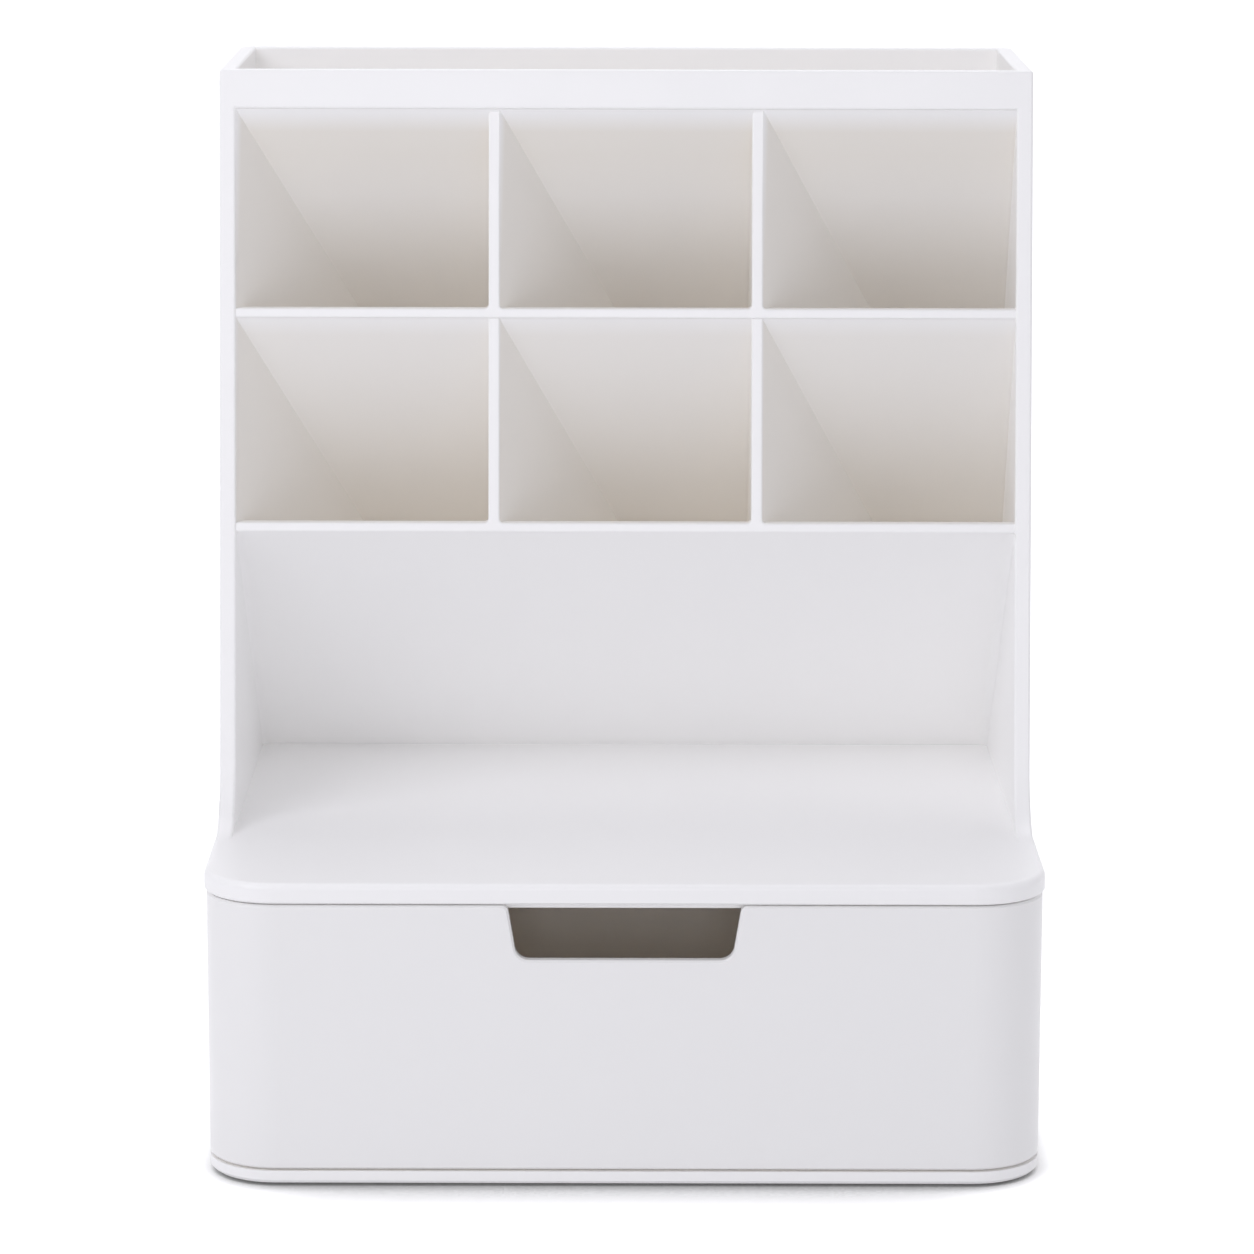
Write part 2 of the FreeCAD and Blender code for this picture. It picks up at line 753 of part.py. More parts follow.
def drawer_front():
    """The full-width front. It wraps both rounded corners of the base."""
    body = new_subpart("drawer_front")
    corner_x = base_half - front_radius
    corner_y = base_front + front_radius
    inner_half = base_half - skin
    inner_front = base_front + skin
    path = [
        (-base_half, corner_y),
        (-corner_x, base_front, -corner_x, corner_y, 1),
        (corner_x, base_front),
        (base_half, corner_y, corner_x, corner_y, 1),
        (base_half, wrap_end),
        (inner_half, wrap_end),
        (inner_half, corner_y),
        (corner_x, inner_front, corner_x, corner_y, -1),
        (-corner_x, inner_front),
        (-inner_half, corner_y, -corner_x, corner_y, -1),
        (-inner_half, wrap_end),
        (-base_half, wrap_end),
    ]
    low = plate_top + reveal
    front = outline(body, "drawer_front_outline", "XY_Plane", path, low)
    pad(body, front, deck_low - reveal - low)
    notch = outline(body, "notch_outline", "XZ_Plane", notch_path(0.0))
    cut(body, notch, 4.0 * base_half, both_ways=True)
    round_notch(body, "notch_corner", 0.0)
    top = deck_low - reveal

    def at_notch_mouth(edge):
        """The short edges where the notch opens at the top."""
        middle = middle_of(edge)
        return (near(middle.z, top.number) and edge.BoundBox.XLength < 0.01
                and abs(middle.x) < notch_half_top.number + 2.0)

    soften(body, "notch_mouth", driving("notch_mouth_radius", 1.75), at_notch_mouth)

    def on_outside(edge):
        """The edges that bound the outer surface, round the notch too."""
        middle = middle_of(edge)
        past = max(abs(middle.x) - corner_x.number, 0.0)
        beyond = min(middle.y - corner_y.number, 0.0)
        on_face = near(middle.y, base_front.number) or near(math.hypot(past, beyond),
                                                            front_radius.number)
        between = low.number + 1.0 < middle.z < notch_low.number - 1.0
        return on_face and not between and edge.BoundBox.ZLength < 20.0

    soften(body, "drawer_front_edges", driving("drawer_edge_bevel", 0.5), on_outside, "Chamfer")

    # Four studs on the back clip into the tray.
    spots = [(x, z) for x in (-60.0, 60.0) for z in (20.0, 45.0)]
    for index, spot in enumerate(spots):
        stud_path = box_path((spot[0] - 2.0, spot[1] - 2.0), (spot[0] + 2.0, spot[1] + 2.0))
        stud = outline(body, "stud_{}".format(index + 1), "XZ_Plane", stud_path,
                       -(inner_front - 1.0))
        pad(body, stud, 3.0, backward=True)
    return body


def drawer_box():
    """The tray behind the drawer front."""
    body = new_subpart("drawer_box")
    front = base_front + skin
    corner = driving("drawer_box_front_corner", 8.0)
    rear_corner = driving("drawer_box_rear_corner", 5.0)
    outer = outline(body, "tray_outline", "XY_Plane",
                    plate_path(box_half, front, box_rear, corner, rear_corner), box_low)
    pad(body, outer, box_rim - box_low)
    inner = outline(body, "tray_space", "XY_Plane",
                    plate_path(box_half - box_wall, front + box_wall, box_rear - box_wall,
                               corner - box_wall, rear_corner - box_wall), box_low + box_wall)
    cut(body, inner, box_rim, backward=True)
    notch = outline(body, "tray_notch", "XZ_Plane", notch_path(1.0), -(front + box_wall + 8.0))
    cut(body, notch, box_wall + 12.0, backward=True)
    round_notch(body, "tray_notch_corner", 1.0)
    spots = [(x, z) for x in (-60.0, 60.0) for z in (20.0, 45.0)]
    for index, spot in enumerate(spots):
        hole_path = box_path((spot[0] - 2.0, spot[1] - 2.0), (spot[0] + 2.0, spot[1] + 2.0))
        hole = outline(body, "stud_hole_{}".format(index + 1), "XZ_Plane", hole_path,
                       -(front + box_wall + 2.0))
        cut(body, hole, box_wall + 4.0, backward=True)

    # A rib at each rear corner rises above the rim and meets the shell's lug.
    rib_top = deck_low - 0.5
    rib_front = box_rear - 10.5
    rib_path = [
        (box_rear - 1.0, box_rim - 24.0),
        (box_rear - 1.0, rib_top),
        (rib_front, rib_top),
        (rib_front, box_rim - 10.0),
    ]
    rib = outline(body, "stop_rib_outline", "YZ_Plane", rib_path, lug_across - 2.0)
    rib_pad = pad(body, rib, 4.0)
    mirror(body, [rib_pad])
    return body


# ---------------------------------------------------------------- the base


def base_housing():
    """Base plate with the walls round the drawer, the runner ribs and the screw bosses."""
    body = new_subpart("base_housing")
    rear = shell_rear - overhang
    plate = outline(body, "base_outline", "XY_Plane",
                    plate_path(base_half, base_front, rear, front_radius, rear_radius), foot_show)
    pad(body, plate, plate_top - foot_show)
    soften(body, "base_edge", driving("base_edge_bevel", 0.8),
           lambda edge: at_height(edge, foot_show.number), "Chamfer")
    inner = base_half - housing_wall
    side = wrap_end + 0.5
    wall_path = [
        (base_half, side),
        (base_half, rear - rear_radius),
        (base_half - rear_radius, rear, base_half - rear_radius, rear - rear_radius, 1),
        (rear_radius - base_half, rear),
        (-base_half, rear - rear_radius, rear_radius - base_half, rear - rear_radius, 1),
        (-base_half, side),
        (-inner, side),
        (-inner, rear - housing_wall),
        (inner, rear - housing_wall),
        (inner, side),
    ]
    wall = outline(body, "housing_wall_outline", "XY_Plane", wall_path, plate_top - 1.0)
    pad(body, wall, deck_low - plate_top + 1.0)
    runner = outline(body, "runner_outline", "XY_Plane",
                     box_path((68.5, -50.0), (71.5, 72.0)), plate_top - 1.0)
    runner_pad = pad(body, runner, 1.0 + 1.2)
    mirror(body, [runner_pad])
    spots = [(x, y) for x in (-post_across, post_across) for y in (post_front, post_rear)]
    reach = post_radius + 0.5
    for name, along in (("front_boss", post_front), ("rear_boss", post_rear)):
        boss = outline(body, name, "XY_Plane",
                       box_path((post_across - reach, along - reach), (inner + 1.0, along + reach)),
                       plate_top - 1.0)
        boss_pad = pad(body, boss, boss_top - plate_top + 1.0)
        mirror(body, [boss_pad])
    seats = circles(body, "head_seats", spots, head_radius + 0.2, foot_show - 0.1)
    cut(body, seats, head_seat - foot_show + 0.1, backward=True)
    holes = circles(body, "screw_holes", spots, screw_hole, foot_show)
    cut(body, holes, boss_top, backward=True)
    pads = [(x, y) for x in (-foot_across, foot_across) for y in (foot_front, foot_rear)]
    recesses = circles(body, "foot_recesses", pads, foot_radius + 0.2, foot_show - 0.1)
    cut(body, recesses, foot_height - foot_show + 0.1, backward=True)
    return body


def turned(label, half_section, across, along, low):
    """A turned piece with its axis upright at the given place."""
    body = new_subpart(label)
    section = outline(body, label + "_section", "XZ_Plane", half_section)
    turn = body.newObject("PartDesign::Revolution", label + "_turned")
    turn.Profile = section
    turn.ReferenceAxis = (section, ["V_Axis"])
    turn.Angle = 360.0
    body.setExpression("Placement.Base.x", across.text)
    body.setExpression("Placement.Base.y", along.text)
    body.setExpression("Placement.Base.z", as_size(low).text)


def foot(label, across, along):
    """A round anti-slip pad, let into the base plate."""
    turned(label, [
        (0.0, 0.0),
        (foot_radius, 0.0),
        (foot_radius, foot_height),
        (0.0, foot_height),
    ], across, along, 0.0)


def base_screw(label, across, along):
    """A screw with a flat head that comes up through the base plate into a post."""
    turned(label, [
        (0.0, 0.0),
        (head_radius, 0.0),
        (head_radius, head_thick),
        (screw_shank, head_thick),
        (screw_shank, head_thick + 12.0),
        (0.0, head_thick + 12.0),
    ], across, along, head_seat - head_thick)


outer_shell()
rear_cover()
upper_pocket_unit()
lower_pocket_unit()
base_housing()
drawer_front()
drawer_box()
for depth_name, foot_y, screw_y in (("front", foot_front, post_front),
                                    ("rear", foot_rear, post_rear)):
    for side_name, sign in (("left", -1.0), ("right", 1.0)):
        foot("foot_{}_{}".format(depth_name, side_name), sign * foot_across, foot_y)
        base_screw("base_screw_{}_{}".format(depth_name, side_name), sign * post_across, screw_y)
doc.recompute()

# ---------------------------------------------------------------- checks and files

for item in doc.Objects:
    if "Invalid" in item.State or "Error" in item.State:
        raise RuntimeError("{} failed: {}".format(item.Name, item.State))
for body in subparts:
    shape = body.Shape
    if shape.isNull() or not shape.isValid() or len(shape.Solids) != 1:
        raise RuntimeError("{} is not one sound solid".format(body.Label))
    shape.exportStep("parts/{}.step".format(body.Label))
    box = shape.optimalBoundingBox(False, False)
    print("{:24s} {:9.0f} mm3  x {:7.2f} {:7.2f}  y {:7.2f} {:7.2f}  z {:7.2f} {:7.2f}".format(
        body.Label, shape.Volume, box.XMin, box.XMax, box.YMin, box.YMax, box.ZMin, box.ZMax))
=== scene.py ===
# %% [markdown]
# # A slanted pocket organiser with one drawer
# The object is a desk organiser moulded in white plastic: a wide base with a drawer, and a
# leaning upper unit with two rows of slanted pockets. The solid pieces come in as a fixed frame
# of CAD nodes, at their real size. This script only gives them their finish, a floor, light and
# a camera, so no node is moved or reshaped here.

# %% Load the frame
import bpy
import math
from mathutils import Matrix, Vector

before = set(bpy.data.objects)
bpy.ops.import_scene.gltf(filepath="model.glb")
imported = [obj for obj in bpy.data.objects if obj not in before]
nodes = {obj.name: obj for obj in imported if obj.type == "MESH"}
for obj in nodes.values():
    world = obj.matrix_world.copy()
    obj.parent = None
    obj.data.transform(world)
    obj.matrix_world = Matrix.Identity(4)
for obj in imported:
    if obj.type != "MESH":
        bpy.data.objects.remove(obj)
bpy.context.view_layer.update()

MM = 0.001

# %% [markdown]
# ## The camera
# The object was seen from straight in front and a little above, from about 1.2 m away through a
# long lens, which keeps its sides nearly parallel. A camera that looks from the right distance
# matters more than any lens setting, because distance alone decides how fast things shrink with
# depth. The picture is square, so the lens is found from the focal length counted in pixels.
# A camera can be aimed with a constraint or with angles. Here its three axes are worked out and
# written into its matrix, because that also takes its very small roll.

# %% Place the camera
PICTURE_SIDE = 1254
FOCAL_PIXELS = 4929.19
SENSOR = 36.0
CAMERA_PLACE = Vector((-0.38, -1205.23, 362.84)) * MM
# These three angles are in radians.
LOOK_DOWN = 0.1985
TURN = 0.0007
ROLL = 0.0023


def add_camera(place):
    """A camera that looks along +Y, tipped down, with its very small turn and roll."""
    data = bpy.data.cameras.new("camera")
    data.sensor_width = SENSOR
    data.lens = FOCAL_PIXELS / PICTURE_SIDE * SENSOR
    camera = bpy.data.objects.new("camera", data)
    bpy.context.scene.collection.objects.link(camera)
    look = Vector((
        math.sin(TURN) * math.cos(LOOK_DOWN),
        math.cos(TURN) * math.cos(LOOK_DOWN),
        -math.sin(LOOK_DOWN),
    ))
    level = Vector((math.cos(TURN), -math.sin(TURN), 0.0))
    upright = level.cross(look)
    right = level * math.cos(ROLL) + upright * math.sin(ROLL)
    up = upright * math.cos(ROLL) - level * math.sin(ROLL)
    camera.matrix_world = Matrix((
        (right.x, up.x, -look.x, place.x),
        (right.y, up.y, -look.y, place.y),
        (right.z, up.z, -look.z, place.z),
        (0.0, 0.0, 0.0, 1.0),
    ))
    bpy.context.scene.camera = camera
    return camera


camera = add_camera(CAMERA_PLACE)
print("lens:", round(camera.data.lens, 2), "mm")

# %% [markdown]
# ## White plastic
# The whole body is one white plastic. White plastic is never one flat colour: the mould leaves a
# very fine grain, the gloss changes a little from place to place, and the tone drifts faintly
# across the wall. It could be painted on an image, but an image needs its own map of every face.
# Noise textures that read the object's own coordinates need none, and the grain stays on the
# surface from every side.

# %% Start a node material


def empty_material(name):
    """A node material that has only its output."""
    material = bpy.data.materials.new(name)
    material.use_nodes = True
    tree = material.node_tree
    tree.nodes.clear()
    return material, tree, tree.nodes.new("ShaderNodeOutputMaterial")


def new_material(name):
    """A node material with one principled shader on its output."""
    material, tree, output = empty_material(name)
    shader = tree.nodes.new("ShaderNodeBsdfPrincipled")
    tree.links.new(shader.outputs["BSDF"], output.inputs["Surface"])
    return material, tree, shader


print("materials start with a principled shader")

# %% Spread a noise over a range
NOISE_LOW = 0.3
NOISE_HIGH = 0.7


def noise(tree, scale, detail):
    """A noise texture in the object's own coordinates."""
    place = tree.nodes.new("ShaderNodeTexCoord")
    texture = tree.nodes.new("ShaderNodeTexNoise")
    texture.inputs["Scale"].default_value = scale
    texture.inputs["Detail"].default_value = detail
    tree.links.new(place.outputs["Object"], texture.inputs["Vector"])
    return texture.outputs["Fac"]


def spread(tree, source, low, high, start=NOISE_LOW, end=NOISE_HIGH):
    """Turns a value between start and end into one between low and high."""
    ramp = tree.nodes.new("ShaderNodeMapRange")
    ramp.inputs["From Min"].default_value = start
    ramp.inputs["From Max"].default_value = end
    ramp.inputs["To Min"].default_value = low
    ramp.inputs["To Max"].default_value = high
    tree.links.new(source, ramp.inputs["Value"])
    return ramp.outputs["Result"]


print("a noise mostly runs from", NOISE_LOW, "to", NOISE_HIGH)

# %% Blend colours and raise a grain
# A mix node has sockets for numbers, vectors and colours. These are its colour sockets.
FIRST_COLOUR = 6
SECOND_COLOUR = 7
MIXED_COLOUR = 2
GRAIN_DETAIL = 3.0
GRAIN_STRENGTH = 0.35


def blend_colours(tree, amount, first, second):
    """Blends two colours. Each is a plain colour or another node's output."""
    mix = tree.nodes.new("ShaderNodeMix")
    mix.data_type = "RGBA"
    for place, colour in ((FIRST_COLOUR, first), (SECOND_COLOUR, second)):
        socket = mix.inputs[place]
        if isinstance(colour, tuple):
            socket.default_value = (*colour, 1.0)
        else:
            tree.links.new(colour, socket)
    tree.links.new(amount, mix.inputs["Factor"])
    return mix.outputs[MIXED_COLOUR]


def grain_bump(tree, shader, scale, height):
    """A fine surface grain, as the mould leaves it. Its height is in metres."""
    bump = tree.nodes.new("ShaderNodeBump")
    bump.inputs["Strength"].default_value = GRAIN_STRENGTH
    bump.inputs["Distance"].default_value = height
    tree.links.new(noise(tree, scale, GRAIN_DETAIL), bump.inputs["Height"])
    tree.links.new(bump.outputs["Normal"], shader.inputs["Normal"])


print("grain strength:", GRAIN_STRENGTH)

# %% Make the plain plastics
WHITE = (0.972, 0.969, 0.965)
# The tray's cream, made bright and warm: partly its colour, partly painted warm light, which also
# goes on the back and lower edge of the drawer's front.
TRAY_TONE_AND_WARM_LIGHT = (0.991, 0.973, 0.943)
# A noise is given by its scale and its detail.
CLOUDS = (14.0, 2.0)
GLOSS_PATCHES = (60.0, 4.0)
CLOUD_TONE = 0.992
POLISHED = 0.34
SATIN = 0.5
LESS_ROUGH = 0.03
MORE_ROUGH = 0.05
PLASTIC_IOR = 1.5
FINE_GRAIN = 2600.0
TRAY_GRAIN = 1800.0
GRAIN_HEIGHT = 0.00002


def moulded_plastic(name, colour, roughness, grain, painted_tone=None, mask=None):
    """White moulded plastic with a fine grain, uneven gloss and, if given, a painted tone of light
    or shade.
    """
    material, tree, shader = new_material(name)
    deeper = tuple(part * CLOUD_TONE for part in colour)
    clouds = spread(tree, noise(tree, *CLOUDS), 0.0, 1.0)
    surface = blend_colours(tree, clouds, colour, deeper)
    # A second tone, blended in by a mask, paints light or shade onto the plastic.
    if painted_tone:
        surface = blend_colours(tree, mask(tree), surface, painted_tone)
    tree.links.new(surface, shader.inputs["Base Color"])
    patches = noise(tree, *GLOSS_PATCHES)
    gloss = spread(tree, patches, roughness - LESS_ROUGH, roughness + MORE_ROUGH)
    tree.links.new(gloss, shader.inputs["Roughness"])
    shader.inputs["IOR"].default_value = PLASTIC_IOR
    grain_bump(tree, shader, grain, GRAIN_HEIGHT)
    return material


shell_white = moulded_plastic("shell_white", WHITE, POLISHED, FINE_GRAIN)
tray_white = moulded_plastic("tray_white", TRAY_TONE_AND_WARM_LIGHT, SATIN, TRAY_GRAIN)
print("plain plastics:", shell_white.name, tray_white.name)

# %% [markdown]
# ## Painted shade in the pockets
# The inside of a pocket looks darker and a trace warmer than the outside, and more so deeper in.
# Much of that is light that has bounced many times, but plain studio light doesn't give all of
# it. The rest is painted shade: a darker, warmer tone put into the material, chosen for its look.
# It would suit a mould that is polished outside and textured inside, but that is a guess, and the
# tone is chosen for its look. Two materials on chosen faces would meet in a hard line, so both
# tones are in one material, and the blend between them runs by depth behind the leaning front of
# the pockets. A depth behind a leaning plane is only a weighted sum of the object's own Y and Z.
# The open bay under the pockets is as pale as the outside, so the painted shade also stops at the
# plane of the bay's back. Under the band along the top, the painted shade is stronger near the
# front and stands in for the band's shadow. The slanted cheeks get an even painted shade right up
# to the front.

# %% Measure along a direction
# A plane is given by its Y, Z and plain terms, in metres.
FRONT_PLANE = (1.0, -0.163, 0.03368)
BAY_PLANE = (1.0, 1.1229, -0.15503)
RIGHT = (1.0, 0.0, 0.0)
UP = (0.0, 0.0, 1.0)
BACK_AND_DOWN = (0.0, 0.8, -0.6)


def combine(tree, operation, first, second):
    """The sum or product of two values, kept between 0 and 1."""
    result = tree.nodes.new("ShaderNodeMath")
    result.operation = operation
    result.use_clamp = True
    tree.links.new(first, result.inputs[0])
    tree.links.new(second, result.inputs[1])
    return result.outputs["Value"]


def along(tree, source, direction):
    """How far the object's own position, or its normal, reaches along a direction."""
    place = tree.nodes.new("ShaderNodeTexCoord")
    across = tree.nodes.new("ShaderNodeVectorMath")
    across.operation = "DOT_PRODUCT"
    across.inputs[1].default_value = direction
    tree.links.new(place.outputs[source], across.inputs[0])
    return across.outputs["Value"]


def behind(tree, plane, high, depths):
    """0 at a plane, rising to high between two depths behind it."""
    reach = along(tree, "Object", (0.0, plane[0], plane[1]))
    start, end = depths
    return spread(tree, reach, 0.0, high, start - plane[2], end - plane[2])


print("the front leans back by", round(math.degrees(math.atan(-FRONT_PLANE[1])), 1), "degrees")

# %% Mask the painted shade in the pockets
# Where the painted shade in the pockets begins and ends, and how much of it lies near the front,
# deep in, on the cheeks and under the band as the band's shadow.
# Depths and heights are in metres.
NEAR_DEPTHS = (0.0007, 0.0045)
DEEP_DEPTHS = (0.0045, 0.052)
CHEEK_DEPTHS = (0.0005, 0.002)
BAY_DEPTHS = (0.001, 0.003)
BAND_HEIGHTS = (0.226, 0.240)
CHEEK_FACING = (0.2, 0.5)
NEAR_SHADE_PART = 0.6
CHEEK_SHADE_PART = 0.85
BAND_SHADOW_PART = 0.8


def pocket_painted_shade_mask(tree):
    """Painted shade: 0 at the front of the pockets and in the bay, rising to 1 deep inside them.

    It is stronger near the front under the band, where it stands in for the band's shadow. The
    slanted cheeks, which face along X, get one even painted shade right up to the front.
    """
    near = behind(tree, FRONT_PLANE, NEAR_SHADE_PART, NEAR_DEPTHS)
    high = spread(tree, along(tree, "Object", UP), 0.0, BAND_SHADOW_PART, *BAND_HEIGHTS)
    deep = behind(tree, FRONT_PLANE, 1.0 - NEAR_SHADE_PART, DEEP_DEPTHS)
    deep = combine(tree, "ADD", deep, combine(tree, "MULTIPLY", near, high))
    cheek = behind(tree, FRONT_PLANE, CHEEK_SHADE_PART, CHEEK_DEPTHS)
    facing = spread(tree, along(tree, "Normal", RIGHT), 0.0, 1.0, *CHEEK_FACING)
    choose = tree.nodes.new("ShaderNodeMix")
    tree.links.new(facing, choose.inputs["Factor"])
    tree.links.new(combine(tree, "ADD", near, deep), choose.inputs["A"])
    tree.links.new(cheek, choose.inputs["B"])
    bay = behind(tree, BAY_PLANE, 1.0, BAY_DEPTHS)
    return combine(tree, "MULTIPLY", choose.outputs["Result"], bay)


# The painted shade: a darker, warmer white for the inside of the pockets.
POCKET_PAINTED_SHADE = (0.866, 0.835, 0.780)
TEXTURED = 0.36
pocket_white_painted_shade = moulded_plastic(
    "pocket_white_painted_shade", WHITE, TEXTURED, FINE_GRAIN, POCKET_PAINTED_SHADE, pocket_painted_shade_mask)
print("pocket plastic:", len(pocket_white_painted_shade.node_tree.nodes), "nodes")

# %% [markdown]
# ## The drawer's front
# The front stands upright and looks a little greyer than the deck and the band above it, as it
# gets less light. Soft light alone shows too little of that, so its outside gets painted shade,
# a slightly darker white, again chosen for its look. Its back, its lower edge and the tray get
# painted light, a bright, warm tone: it lifts the dark seam under the front, and what comes out
# through the finger notch is warm. The parts also light each other. The two sides could be split
# into two materials. A mask made from the direction that the surface faces needs no chosen faces.

# %% Mask the drawer's painted light and shade
# Painted shade: a darker white for the upright outside of the drawer's front.
DRAWER_PAINTED_SHADE = (0.902, 0.898, 0.892)
INNER_FACING = (0.4, 0.55)


def drawer_light_and_shade_mask(tree):
    """0 on the outside of the drawer's front, in painted shade, and 1 on its back and lower edge,
    in painted light.
    """
    return spread(tree, along(tree, "Normal", BACK_AND_DOWN), 0.0, 1.0, *INNER_FACING)


drawer_painted_light_and_shade = moulded_plastic(
    "drawer_painted_light_and_shade", DRAWER_PAINTED_SHADE, POLISHED, FINE_GRAIN, TRAY_TONE_AND_WARM_LIGHT, drawer_light_and_shade_mask)
print("drawer plastic:", len(drawer_painted_light_and_shade.node_tree.nodes), "nodes")

# %% [markdown]
# ## Rubber feet and screws
# Four thin rubber pads and four small screws are under the base, and show only from below. The
# rubber is soft and matt, with dust in its pores. The screws are zinc-plated steel, which is shiny
# but never even: it has fine marks and duller patches. Both could be one flat grey, since they
# are small, but two noise textures each are enough to make them look like what they are.

# %% Make the rubber
RUBBER = (0.18, 0.18, 0.185)
DUSTY_RUBBER = (0.25, 0.25, 0.25)
DUST = (900.0, 5.0)
RUBBER_ROUGHNESS = 0.85
RUBBER_GRAIN = 1500.0
RUBBER_HEIGHT = 0.00005


def foot_rubber():
    """Soft grey rubber with a matt, dusty surface."""
    material, tree, shader = new_material("foot_rubber")
    dust = spread(tree, noise(tree, *DUST), 0.0, 1.0)
    colour = blend_colours(tree, dust, RUBBER, DUSTY_RUBBER)
    tree.links.new(colour, shader.inputs["Base Color"])
    shader.inputs["Roughness"].default_value = RUBBER_ROUGHNESS
    grain_bump(tree, shader, RUBBER_GRAIN, RUBBER_HEIGHT)
    return material


rubber = foot_rubber()
print("rubber roughness:", RUBBER_ROUGHNESS)

# %% Make the steel
BRIGHT_ZINC = (0.62, 0.62, 0.64)
DULL_ZINC = (0.55, 0.56, 0.58)
FINE_MARKS = (2200.0, 4.0)
DULL_PATCHES = (300.0, 2.0)
STEEL_ROUGHNESS = (0.28, 0.42)


def zinc_steel():
    """Zinc-plated steel with fine marks and duller patches."""
    material, tree, shader = new_material("zinc_steel")
    shader.inputs["Metallic"].default_value = 1.0
    marks = spread(tree, noise(tree, *FINE_MARKS), *STEEL_ROUGHNESS)
    tree.links.new(marks, shader.inputs["Roughness"])
    patches = spread(tree, noise(tree, *DULL_PATCHES), 0.0, 1.0)
    colour = blend_colours(tree, patches, BRIGHT_ZINC, DULL_ZINC)
    tree.links.new(colour, shader.inputs["Base Color"])
    return material


steel = zinc_steel()
print("steel roughness:", STEEL_ROUGHNESS)

# %% Give every node its finish
finish = {
    "outer_shell": shell_white,
    "base_housing": shell_white,
    "rear_cover": shell_white,
    "upper_pocket_unit": pocket_white_painted_shade,
    "lower_pocket_unit": pocket_white_painted_shade,
    "drawer_front": drawer_painted_light_and_shade,
    "drawer_box": tray_white,
}
for name, node in nodes.items():
    if name.startswith("foot"):
        chosen = rubber
    elif name.startswith("base_screw"):
        chosen = steel
    else:
        chosen = finish[name]
    for slot in node.material_slots:
        slot.material = chosen
print("finishes given to", len(nodes), "nodes")

# %% [markdown]
# ## Floor and backdrop
# The organiser stands on a white sweep, a sheet of paper that is flat in front and curves up
# behind, so no corner shows. Two planes would leave a line at the horizon. One sheet with smooth
# faces leaves none.

# %% Make the sweep


def white_sweep():
    """One curved sheet: floor in front, rising behind the object."""
    half_width = 3.0
    front = -2.5
    bend = 1.2
    radius = 1.0
    top = 3.0
    profile = [(front, 0.0), (bend, 0.0)]
    steps = 16
    for step in range(1, steps + 1):
        angle = math.pi / 2.0 * step / steps
        profile.append((bend + radius * math.sin(angle), radius * (1.0 - math.cos(angle))))
    profile.append((bend + radius, top))
    verts = []
    faces = []
    for y, z in profile:
        verts.append((-half_width, y, z))
        verts.append((half_width, y, z))
    for index in range(len(profile) - 1):
        start = 2 * index
        faces.append((start, start + 1, start + 3, start + 2))
    mesh = bpy.data.meshes.new("sweep")
    mesh.from_pydata(verts, [], faces)
    for face in mesh.polygons:
        face.use_smooth = True
    sweep = bpy.data.objects.new("sweep", mesh)
    bpy.context.scene.collection.objects.link(sweep)
    return sweep


sweep = white_sweep()
print("sweep:", len(sweep.data.polygons), "faces")

# %% [markdown]
# ## White paper
# Where it is looked at, the paper is pure white and has a little glow, so it reads as white. For
# the light that bounces it is only pale paper, so the object isn't lit by its background. Close
# to the object the paper sees less of the room: there it loses its glow and darkens, which gives
# the soft line of shadow along the base. Lamps alone would throw that shadow too, but the glow
# would wash it out, so an ambient occlusion node measures how open each spot is.

# %% Tell apart the rays that show the background


def seen_as_background(tree):
    """1 for the rays that show the background: straight, in a reflection or through glass."""
    path = tree.nodes.new("ShaderNodeLightPath")
    seen = path.outputs["Is Camera Ray"]
    for kind in ("Is Glossy Ray", "Is Transmission Ray"):
        either = tree.nodes.new("ShaderNodeMath")
        either.operation = "MAXIMUM"
        tree.links.new(seen, either.inputs[0])
        tree.links.new(path.outputs[kind], either.inputs[1])
        seen = either.outputs["Value"]
    return seen


print("background rays: straight, glossy and transmitted")

# %% Measure how open the paper is
# The soft shadow in front of the base, and the thin line right along its edge. The first one
# looks up and back, so that the paper beside the object stays white.
FRONT_SHADOW = {"reach": 0.048, "tilt": math.radians(45.0), "low": 0.2, "start": 0.2, "end": 0.495}
CONTACT_LINE = {"reach": 0.006, "tilt": 0.0, "low": 0.64, "start": 0.5, "end": 0.95}
OPENNESS_RAYS = 8


def openness(tree, reach, tilt, low, start, end):
    """How much of the room a spot on the paper sees, as a tone between low and 1."""
    upward = tree.nodes.new("ShaderNodeCombineXYZ")
    upward.inputs["Y"].default_value = math.sin(tilt)
    upward.inputs["Z"].default_value = math.cos(tilt)
    near = tree.nodes.new("ShaderNodeAmbientOcclusion")
    near.samples = OPENNESS_RAYS
    near.inputs["Distance"].default_value = reach
    tree.links.new(upward.outputs["Vector"], near.inputs["Normal"])
    return spread(tree, near.outputs["AO"], low, 1.0, start, end)


print("shadow reach:", FRONT_SHADOW["reach"], "contact reach:", CONTACT_LINE["reach"])

# %% Make the paper
PAPER = (0.90, 0.90, 0.90)
PAPER_GLOW = 0.45


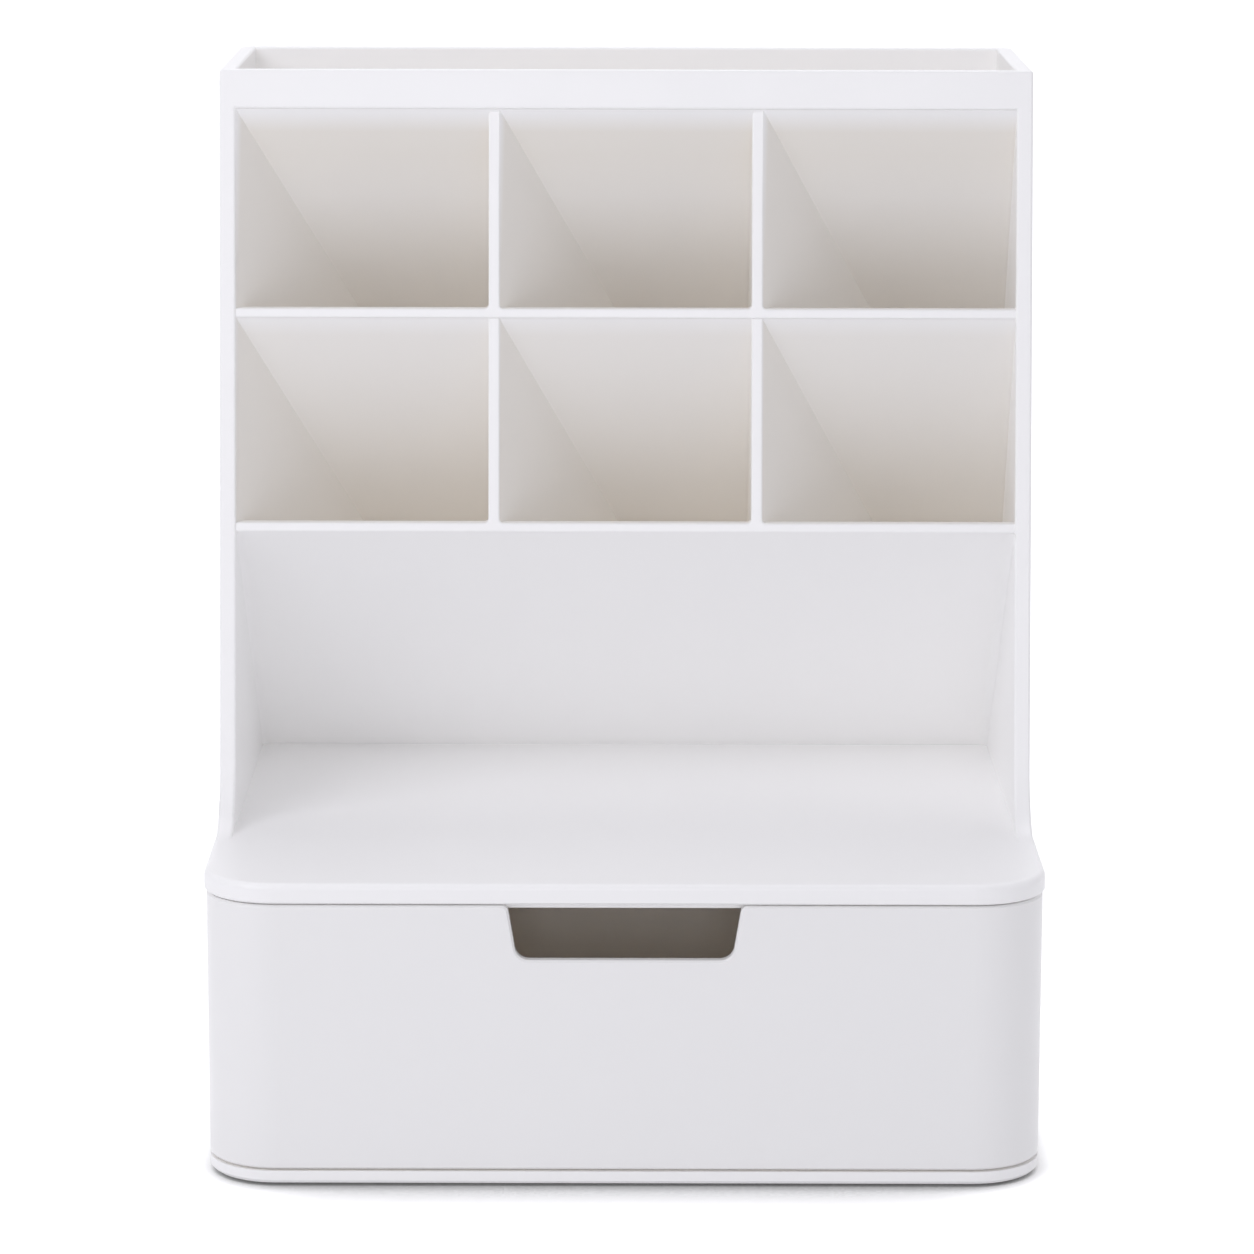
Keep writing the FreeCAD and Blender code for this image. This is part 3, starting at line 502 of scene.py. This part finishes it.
def sweep_paper():
    """Matt paper. Where it is looked at it is white, and glows in the open."""
    material, tree, output = empty_material("sweep_paper")
    front = openness(tree, **FRONT_SHADOW)
    contact = openness(tree, **CONTACT_LINE)
    tone = combine(tree, "MULTIPLY", front, contact)
    white = tree.nodes.new("ShaderNodeBsdfDiffuse")
    tree.links.new(tone, white.inputs["Color"])
    lift = tree.nodes.new("ShaderNodeMath")
    lift.operation = "MULTIPLY"
    lift.inputs[1].default_value = PAPER_GLOW
    tree.links.new(tone, lift.inputs[0])
    glow = tree.nodes.new("ShaderNodeEmission")
    tree.links.new(lift.outputs["Value"], glow.inputs["Strength"])
    bright = tree.nodes.new("ShaderNodeAddShader")
    tree.links.new(white.outputs["BSDF"], bright.inputs[0])
    tree.links.new(glow.outputs["Emission"], bright.inputs[1])
    matt = tree.nodes.new("ShaderNodeBsdfDiffuse")
    matt.inputs["Color"].default_value = (*PAPER, 1.0)
    both = tree.nodes.new("ShaderNodeMixShader")
    tree.links.new(seen_as_background(tree), both.inputs[0])
    tree.links.new(matt.outputs["BSDF"], both.inputs[1])
    tree.links.new(bright.outputs["Shader"], both.inputs[2])
    tree.links.new(both.outputs["Shader"], output.inputs["Surface"])
    return material


sweep.data.materials.append(sweep_paper())
print("sweep material:", sweep.data.materials[0].name)

# %% [markdown]
# ## Light
# The light is that of a soft studio. A panel on the upper left gives the slow shading that shows
# the slanted backs, and a weak one far to the right opens the cheeks. A panel behind and above
# lights the top rim. A small one straight in front reaches through the finger notch into the
# drawer. An even dome does the rest. Point lamps would be simpler, but their shadows are hard,
# and large panels are what a studio uses for white objects.

# %% Place the panels
MIDDLE = Vector((0.0, 0.0, 0.13))
DAYLIGHT = (0.955, 0.95, 1.0)
# Each panel's name, place and side in metres, and power in watts.
PANELS = (
    ("left_panel", (-0.60, -0.68, 0.81), 0.64, 3.3),
    ("right_panel", (2.4, -0.2, 0.9), 1.4, 3.4),
    ("back_panel", (0.0, 0.9, 1.9), 1.2, 9.0),
    ("front_panel", (0.0, -2.4, 0.60), 0.25, 3.9),
)


def panel_light(name, place, side, power):
    """A square soft panel that faces the middle of the object."""
    data = bpy.data.lights.new(name, "AREA")
    data.shape = "SQUARE"
    data.size = side
    data.energy = power
    data.color = DAYLIGHT
    lamp = bpy.data.objects.new(name, data)
    bpy.context.scene.collection.objects.link(lamp)
    lamp.location = place
    away = Vector(place) - MIDDLE
    lamp.rotation_euler = away.to_track_quat("Z", "Y").to_euler()


for panel in PANELS:
    panel_light(*panel)
print("panels:", len(PANELS))

# %% Make the dome
DOME_STRENGTH = 0.55


def soft_dome():
    """An even grey-white surround, seen as white where the background shows."""
    world = bpy.data.worlds.new("soft_dome")
    world.use_nodes = True
    tree = world.node_tree
    tree.nodes.clear()
    output = tree.nodes.new("ShaderNodeOutputWorld")
    light = tree.nodes.new("ShaderNodeBackground")
    light.inputs["Color"].default_value = (*DAYLIGHT, 1.0)
    light.inputs["Strength"].default_value = DOME_STRENGTH
    seen = tree.nodes.new("ShaderNodeBackground")
    seen.inputs["Color"].default_value = (1.0, 1.0, 1.0, 1.0)
    choose = tree.nodes.new("ShaderNodeMixShader")
    tree.links.new(seen_as_background(tree), choose.inputs[0])
    tree.links.new(light.outputs["Background"], choose.inputs[1])
    tree.links.new(seen.outputs["Background"], choose.inputs[2])
    tree.links.new(choose.outputs["Shader"], output.inputs["Surface"])
    bpy.context.scene.world = world


soft_dome()
print("dome strength:", DOME_STRENGTH)

# %% [markdown]
# ## Bounces and colour
# White plastic gives back nearly all the light it gets, so the inside of a pocket is lit by many
# bounces. With too few of them the hollows turn black. More lamps would light the hollows too,
# but would flatten the shading everywhere else. The Standard view shows a colour about as it is
# written.

# %% Set the bounces and the view
DIFFUSE_BOUNCES = 44
MAX_BOUNCES = 48
bpy.context.scene.cycles.diffuse_bounces = DIFFUSE_BOUNCES
bpy.context.scene.cycles.max_bounces = MAX_BOUNCES
bpy.context.scene.view_settings.view_transform = "Standard"
print("bounces:", DIFFUSE_BOUNCES, "of", MAX_BOUNCES)
